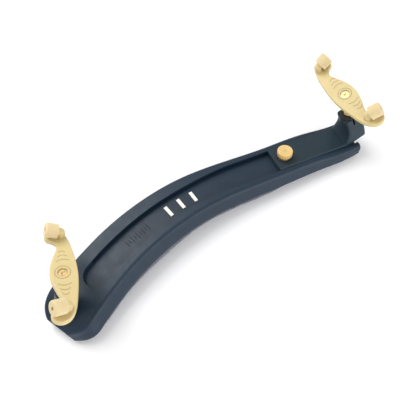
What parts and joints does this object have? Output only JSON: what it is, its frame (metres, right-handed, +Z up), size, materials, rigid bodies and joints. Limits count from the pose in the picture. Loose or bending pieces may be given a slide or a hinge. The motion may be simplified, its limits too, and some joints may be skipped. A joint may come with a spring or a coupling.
{
  "type": "violin shoulder rest",
  "caption": "Curved padded shoulder rest for a violin, with an adjustable end slide, a clamp knob and two leaning, height-adjustable forks with rubber feet.",
  "frame": {"origin": "centre of the footprint at the level of the foam pad's lowest point", "axes": "+X along the length towards the slide's riser, +Y towards the outer side of the curve, +Z up with the foam pad down"},
  "size_m": [0.2354, 0.097, 0.0656],
  "materials": {
    "shell_plastic": "satin, very fine moulded grain",
    "slide_plastic": "satin",
    "dark_plastic": "matte",
    "cream_plastic": "soft sheen",
    "knob_plastic": "soft sheen",
    "foot_rubber": "matte",
    "foam": "fine closed-cell foam",
    "liner_sheet": "matte sheet",
    "brass": "turned",
    "steel": "turned",
    "stem_brass": "threaded"
  },
  "bodies": {
    "rib_body": {"rib": "shell_plastic", "foam_pad": "foam", "pad_liner": "liner_sheet", "floor_marks": "cream_plastic", "collar_left": "dark_plastic"},
    "slide_body": {"extension_slide": "slide_plastic", "slide_insert": "brass", "collar_right": "dark_plastic"},
    "clamp_screw_body": {"clamp_screw": "steel"},
    "clamp_knob_body": {"clamp_knob": "knob_plastic"},
    "left_stem_body": {"stem_left": "stem_brass"},
    "left_fork_body": {"fork_left": "cream_plastic", "foot_left_far": "foot_rubber", "foot_left_near": "foot_rubber"},
    "right_stem_body": {"stem_right": "stem_brass"},
    "right_fork_body": {"fork_right": "cream_plastic", "foot_right_far": "foot_rubber", "foot_right_near": "foot_rubber"}
  },
  "joints": [
    {"name": "slide_extension", "type": "slide", "parent": "rib_body", "child": "slide_body", "axis": [0.9971, 0, -0.0757], "range_m": [-0.02, 0.015]},
    {"name": "clamp_rise", "type": "slide", "parent": "slide_body", "child": "clamp_screw_body", "axis": [0.0756, 0.0433, 0.9962], "range_m": [0, 0.0014]},
    {"name": "clamp_turn", "type": "hinge", "parent": "clamp_screw_body", "child": "clamp_knob_body", "pos_m": [0.05969, 0.01541, 0.01408], "axis": [0.0756, 0.0433, 0.9962], "range_deg": [0, 720]},
    {"name": "left_fork_height", "type": "slide", "parent": "rib_body", "child": "left_stem_body", "axis": [0.2564, 0.1472, 0.9553], "range_m": [-0.003, 0.006]},
    {"name": "left_fork_turn", "type": "hinge", "parent": "left_stem_body", "child": "left_fork_body", "pos_m": [-0.10064, -0.02109, 0.02984], "axis": [0.2564, 0.1472, 0.9553], "range_deg": [-540, 1080]},
    {"name": "right_fork_height", "type": "slide", "parent": "slide_body", "child": "right_stem_body", "axis": [-0.2868, 0.0404, 0.9572], "range_m": [-0.003, 0.006]},
    {"name": "right_fork_turn", "type": "hinge", "parent": "right_stem_body", "child": "right_fork_body", "pos_m": [0.10646, 0.01632, 0.03167], "axis": [-0.2868, 0.0404, 0.9572], "range_deg": [-540, 1080]}
  ],
  "couplings": [
    {"joint": "clamp_turn", "follows": "clamp_rise", "rad_per_m": 8976},
    {"joint": "left_fork_height", "follows": "left_fork_turn", "m_per_rad": 0.00031831},
    {"joint": "right_fork_height", "follows": "right_fork_turn", "m_per_rad": 0.00031831}
  ]
}
